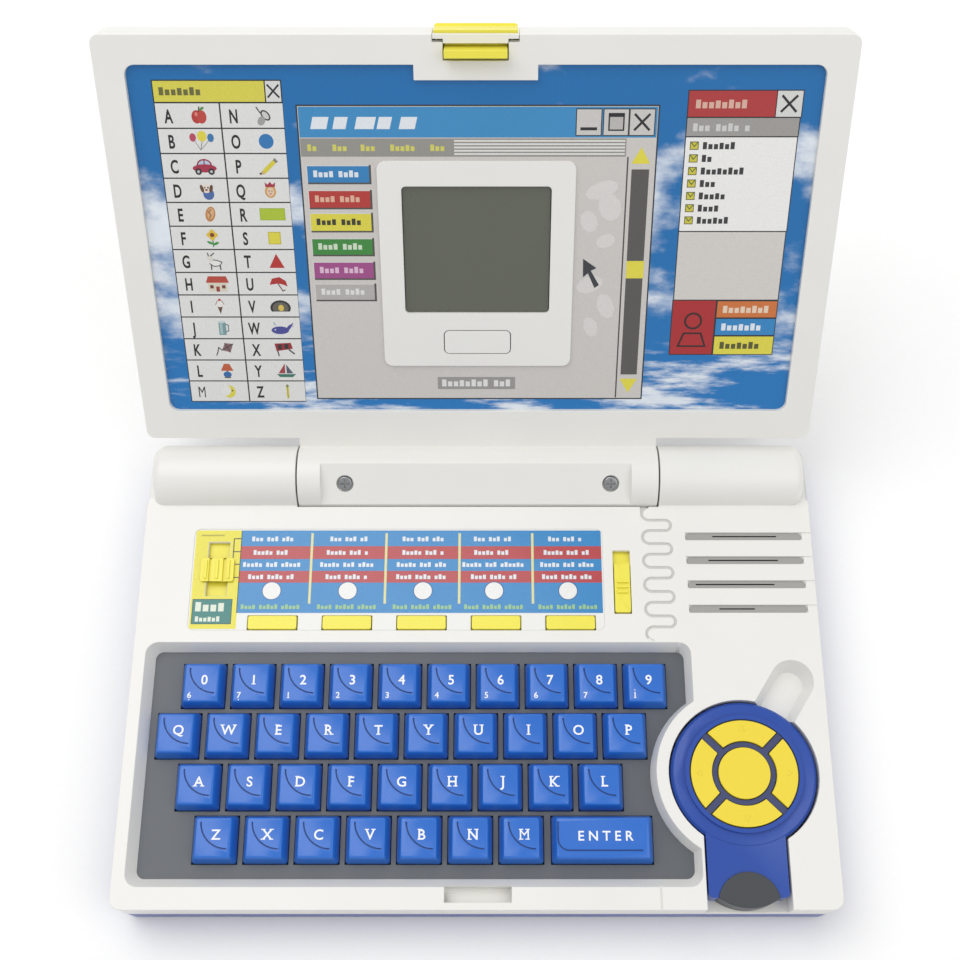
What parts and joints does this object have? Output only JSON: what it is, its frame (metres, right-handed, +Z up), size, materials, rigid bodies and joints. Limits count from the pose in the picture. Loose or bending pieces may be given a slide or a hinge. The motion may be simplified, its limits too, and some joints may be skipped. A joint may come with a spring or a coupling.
{
  "type": "toy laptop computer",
  "caption": "Child's toy laptop with a friction-hinged screen lid, a letter and number keyboard, mode buttons, slide switches and a lift-out mouse with an arrow pad.",
  "frame": {"origin": "centre of the base's footprint, on the surface that it stands on", "axes": "+X to the user's right, +Y from the user to the hinge, +Z up"},
  "size_m": [0.25, 0.2723, 0.1498],
  "materials": {
    "shell_white": "satin moulded ABS",
    "shell_blue": "satin moulded ABS",
    "panel_grey": "fine textured ABS",
    "key_blue": "satin moulded ABS",
    "mouse_blue": "gloss moulded ABS",
    "button_yellow": "gloss moulded ABS",
    "petal_yellow": "satin silicone rubber",
    "board_green": "solder mask on board",
    "speaker_black": "pressed frame and paper cone",
    "lcd_glass": "polarised display glass",
    "screw_steel": "zinc plated",
    "cell_steel": "steel can with printed sleeve"
  },
  "bodies": {
    "base": {"base_top_shell": "shell_white", "base_bottom_shell": "shell_blue", "keyboard_panel": "panel_grey", "main_board": "board_green", "speaker": "speaker_black", "battery_door": "shell_blue", "battery_cells": "cell_steel", "base_screws": "screw_steel"},
    "lid": {"lid_front_shell": "shell_white", "lid_back_shell": "shell_white", "lcd_module": "lcd_glass"},
    "latch": {"lid_latch": "button_yellow"},
    "contrast": {"contrast_button": "shell_white"},
    "slider": {"level_slider": "button_yellow"},
    "switch": {"power_switch": "button_yellow"},
    "mouse": {"mouse_shell": "mouse_blue"},
    "arrow_pad": {"mouse_arrow_pad": "petal_yellow"},
    "ok_button": {"mouse_ok_button": "petal_yellow"},
    "mode_1": {"mode_button_1": "button_yellow"},
    "mode_2": {"mode_button_2": "button_yellow"},
    "mode_3": {"mode_button_3": "button_yellow"},
    "mode_4": {"mode_button_4": "button_yellow"},
    "mode_5": {"mode_button_5": "button_yellow"},
    "key_0": {"key_0": "key_blue"},
    "key_1": {"key_1": "key_blue"},
    "key_2": {"key_2": "key_blue"},
    "key_3": {"key_3": "key_blue"},
    "key_4": {"key_4": "key_blue"},
    "key_5": {"key_5": "key_blue"},
    "key_6": {"key_6": "key_blue"},
    "key_7": {"key_7": "key_blue"},
    "key_8": {"key_8": "key_blue"},
    "key_9": {"key_9": "key_blue"},
    "key_q": {"key_q": "key_blue"},
    "key_w": {"key_w": "key_blue"},
    "key_e": {"key_e": "key_blue"},
    "key_r": {"key_r": "key_blue"},
    "key_t": {"key_t": "key_blue"},
    "key_y": {"key_y": "key_blue"},
    "key_u": {"key_u": "key_blue"},
    "key_i": {"key_i": "key_blue"},
    "key_o": {"key_o": "key_blue"},
    "key_p": {"key_p": "key_blue"},
    "key_a": {"key_a": "key_blue"},
    "key_s": {"key_s": "key_blue"},
    "key_d": {"key_d": "key_blue"},
    "key_f": {"key_f": "key_blue"},
    "key_g": {"key_g": "key_blue"},
    "key_h": {"key_h": "key_blue"},
    "key_j": {"key_j": "key_blue"},
    "key_k": {"key_k": "key_blue"},
    "key_l": {"key_l": "key_blue"},
    "key_z": {"key_z": "key_blue"},
    "key_x": {"key_x": "key_blue"},
    "key_c": {"key_c": "key_blue"},
    "key_v": {"key_v": "key_blue"},
    "key_b": {"key_b": "key_blue"},
    "key_n": {"key_n": "key_blue"},
    "key_m": {"key_m": "key_blue"},
    "key_enter": {"key_enter": "key_blue"}
  },
  "joints": [
    {"name": "lid_hinge", "type": "hinge", "parent": "base", "child": "lid", "pos_m": [0, 0.074, 0.0237], "axis": [-1, 0, 0], "range_deg": [-128, 0]},
    {"name": "latch_hinge", "type": "hinge", "parent": "lid", "child": "latch", "pos_m": [0, 0.17823, 0.14087], "axis": [-1, 0, 0], "range_deg": [0, 6], "stiffness_Nm_per_rad": 0.05, "springref_deg": -11.46},
    {"name": "contrast_press", "type": "slide", "parent": "lid", "child": "contrast", "axis": [0, -0.788, 0.6157], "range_m": [-0.001, 0], "stiffness_N_per_m": 200, "springref_m": 0.0008},
    {"name": "level_slide", "type": "slide", "parent": "base", "child": "slider", "axis": [0, 1, 0], "range_m": [-0.0066, 0.008]},
    {"name": "power_slide", "type": "slide", "parent": "base", "child": "switch", "axis": [0, 1, 0], "range_m": [0, 0.0045]},
    {"name": "mouse_lift", "type": "slide", "parent": "base", "child": "mouse", "axis": [0, 0, 1], "range_m": [0, 0.03]},
    {"name": "arrow_pad_press", "type": "slide", "parent": "mouse", "child": "arrow_pad", "axis": [0, 0, 1], "range_m": [-0.001, 0], "stiffness_N_per_m": 200, "springref_m": 0.0008},
    {"name": "ok_press", "type": "slide", "parent": "mouse", "child": "ok_button", "axis": [0, 0, 1], "range_m": [-0.001, 0], "stiffness_N_per_m": 200, "springref_m": 0.0008},
    {"name": "mode_1_press", "type": "slide", "parent": "base", "child": "mode_1", "axis": [0, 0, 1], "range_m": [-0.0015, 0], "stiffness_N_per_m": 150, "springref_m": 0.001},
    {"name": "mode_2_press", "type": "slide", "parent": "base", "child": "mode_2", "axis": [0, 0, 1], "range_m": [-0.0015, 0], "stiffness_N_per_m": 150, "springref_m": 0.001},
    {"name": "mode_3_press", "type": "slide", "parent": "base", "child": "mode_3", "axis": [0, 0, 1], "range_m": [-0.0015, 0], "stiffness_N_per_m": 150, "springref_m": 0.001},
    {"name": "mode_4_press", "type": "slide", "parent": "base", "child": "mode_4", "axis": [0, 0, 1], "range_m": [-0.0015, 0], "stiffness_N_per_m": 150, "springref_m": 0.001},
    {"name": "mode_5_press", "type": "slide", "parent": "base", "child": "mode_5", "axis": [0, 0, 1], "range_m": [-0.0015, 0], "stiffness_N_per_m": 150, "springref_m": 0.001},
    {"name": "key_0_press", "type": "slide", "parent": "base", "child": "key_0", "axis": [0, 0, 1], "range_m": [-0.002, 0], "stiffness_N_per_m": 150, "springref_m": 0.001},
    {"name": "key_1_press", "type": "slide", "parent": "base", "child": "key_1", "axis": [0, 0, 1], "range_m": [-0.002, 0], "stiffness_N_per_m": 150, "springref_m": 0.001},
    {"name": "key_2_press", "type": "slide", "parent": "base", "child": "key_2", "axis": [0, 0, 1], "range_m": [-0.002, 0], "stiffness_N_per_m": 150, "springref_m": 0.001},
    {"name": "key_3_press", "type": "slide", "parent": "base", "child": "key_3", "axis": [0, 0, 1], "range_m": [-0.002, 0], "stiffness_N_per_m": 150, "springref_m": 0.001},
    {"name": "key_4_press", "type": "slide", "parent": "base", "child": "key_4", "axis": [0, 0, 1], "range_m": [-0.002, 0], "stiffness_N_per_m": 150, "springref_m": 0.001},
    {"name": "key_5_press", "type": "slide", "parent": "base", "child": "key_5", "axis": [0, 0, 1], "range_m": [-0.002, 0], "stiffness_N_per_m": 150, "springref_m": 0.001},
    {"name": "key_6_press", "type": "slide", "parent": "base", "child": "key_6", "axis": [0, 0, 1], "range_m": [-0.002, 0], "stiffness_N_per_m": 150, "springref_m": 0.001},
    {"name": "key_7_press", "type": "slide", "parent": "base", "child": "key_7", "axis": [0, 0, 1], "range_m": [-0.002, 0], "stiffness_N_per_m": 150, "springref_m": 0.001},
    {"name": "key_8_press", "type": "slide", "parent": "base", "child": "key_8", "axis": [0, 0, 1], "range_m": [-0.002, 0], "stiffness_N_per_m": 150, "springref_m": 0.001},
    {"name": "key_9_press", "type": "slide", "parent": "base", "child": "key_9", "axis": [0, 0, 1], "range_m": [-0.002, 0], "stiffness_N_per_m": 150, "springref_m": 0.001},
    {"name": "key_q_press", "type": "slide", "parent": "base", "child": "key_q", "axis": [0, 0, 1], "range_m": [-0.002, 0], "stiffness_N_per_m": 150, "springref_m": 0.001},
    {"name": "key_w_press", "type": "slide", "parent": "base", "child": "key_w", "axis": [0, 0, 1], "range_m": [-0.002, 0], "stiffness_N_per_m": 150, "springref_m": 0.001},
    {"name": "key_e_press", "type": "slide", "parent": "base", "child": "key_e", "axis": [0, 0, 1], "range_m": [-0.002, 0], "stiffness_N_per_m": 150, "springref_m": 0.001},
    {"name": "key_r_press", "type": "slide", "parent": "base", "child": "key_r", "axis": [0, 0, 1], "range_m": [-0.002, 0], "stiffness_N_per_m": 150, "springref_m": 0.001},
    {"name": "key_t_press", "type": "slide", "parent": "base", "child": "key_t", "axis": [0, 0, 1], "range_m": [-0.002, 0], "stiffness_N_per_m": 150, "springref_m": 0.001},
    {"name": "key_y_press", "type": "slide", "parent": "base", "child": "key_y", "axis": [0, 0, 1], "range_m": [-0.002, 0], "stiffness_N_per_m": 150, "springref_m": 0.001},
    {"name": "key_u_press", "type": "slide", "parent": "base", "child": "key_u", "axis": [0, 0, 1], "range_m": [-0.002, 0], "stiffness_N_per_m": 150, "springref_m": 0.001},
    {"name": "key_i_press", "type": "slide", "parent": "base", "child": "key_i", "axis": [0, 0, 1], "range_m": [-0.002, 0], "stiffness_N_per_m": 150, "springref_m": 0.001},
    {"name": "key_o_press", "type": "slide", "parent": "base", "child": "key_o", "axis": [0, 0, 1], "range_m": [-0.002, 0], "stiffness_N_per_m": 150, "springref_m": 0.001},
    {"name": "key_p_press", "type": "slide", "parent": "base", "child": "key_p", "axis": [0, 0, 1], "range_m": [-0.002, 0], "stiffness_N_per_m": 150, "springref_m": 0.001},
    {"name": "key_a_press", "type": "slide", "parent": "base", "child": "key_a", "axis": [0, 0, 1], "range_m": [-0.002, 0], "stiffness_N_per_m": 150, "springref_m": 0.001},
    {"name": "key_s_press", "type": "slide", "parent": "base", "child": "key_s", "axis": [0, 0, 1], "range_m": [-0.002, 0], "stiffness_N_per_m": 150, "springref_m": 0.001},
    {"name": "key_d_press", "type": "slide", "parent": "base", "child": "key_d", "axis": [0, 0, 1], "range_m": [-0.002, 0], "stiffness_N_per_m": 150, "springref_m": 0.001},
    {"name": "key_f_press", "type": "slide", "parent": "base", "child": "key_f", "axis": [0, 0, 1], "range_m": [-0.002, 0], "stiffness_N_per_m": 150, "springref_m": 0.001},
    {"name": "key_g_press", "type": "slide", "parent": "base", "child": "key_g", "axis": [0, 0, 1], "range_m": [-0.002, 0], "stiffness_N_per_m": 150, "springref_m": 0.001},
    {"name": "key_h_press", "type": "slide", "parent": "base", "child": "key_h", "axis": [0, 0, 1], "range_m": [-0.002, 0], "stiffness_N_per_m": 150, "springref_m": 0.001},
    {"name": "key_j_press", "type": "slide", "parent": "base", "child": "key_j", "axis": [0, 0, 1], "range_m": [-0.002, 0], "stiffness_N_per_m": 150, "springref_m": 0.001},
    {"name": "key_k_press", "type": "slide", "parent": "base", "child": "key_k", "axis": [0, 0, 1], "range_m": [-0.002, 0], "stiffness_N_per_m": 150, "springref_m": 0.001},
    {"name": "key_l_press", "type": "slide", "parent": "base", "child": "key_l", "axis": [0, 0, 1], "range_m": [-0.002, 0], "stiffness_N_per_m": 150, "springref_m": 0.001},
    {"name": "key_z_press", "type": "slide", "parent": "base", "child": "key_z", "axis": [0, 0, 1], "range_m": [-0.002, 0], "stiffness_N_per_m": 150, "springref_m": 0.001},
    {"name": "key_x_press", "type": "slide", "parent": "base", "child": "key_x", "axis": [0, 0, 1], "range_m": [-0.002, 0], "stiffness_N_per_m": 150, "springref_m": 0.001},
    {"name": "key_c_press", "type": "slide", "parent": "base", "child": "key_c", "axis": [0, 0, 1], "range_m": [-0.002, 0], "stiffness_N_per_m": 150, "springref_m": 0.001},
    {"name": "key_v_press", "type": "slide", "parent": "base", "child": "key_v", "axis": [0, 0, 1], "range_m": [-0.002, 0], "stiffness_N_per_m": 150, "springref_m": 0.001},
    {"name": "key_b_press", "type": "slide", "parent": "base", "child": "key_b", "axis": [0, 0, 1], "range_m": [-0.002, 0], "stiffness_N_per_m": 150, "springref_m": 0.001},
    {"name": "key_n_press", "type": "slide", "parent": "base", "child": "key_n", "axis": [0, 0, 1], "range_m": [-0.002, 0], "stiffness_N_per_m": 150, "springref_m": 0.001},
    {"name": "key_m_press", "type": "slide", "parent": "base", "child": "key_m", "axis": [0, 0, 1], "range_m": [-0.002, 0], "stiffness_N_per_m": 150, "springref_m": 0.001},
    {"name": "key_enter_press", "type": "slide", "parent": "base", "child": "key_enter", "axis": [0, 0, 1], "range_m": [-0.002, 0], "stiffness_N_per_m": 150, "springref_m": 0.001}
  ]
}
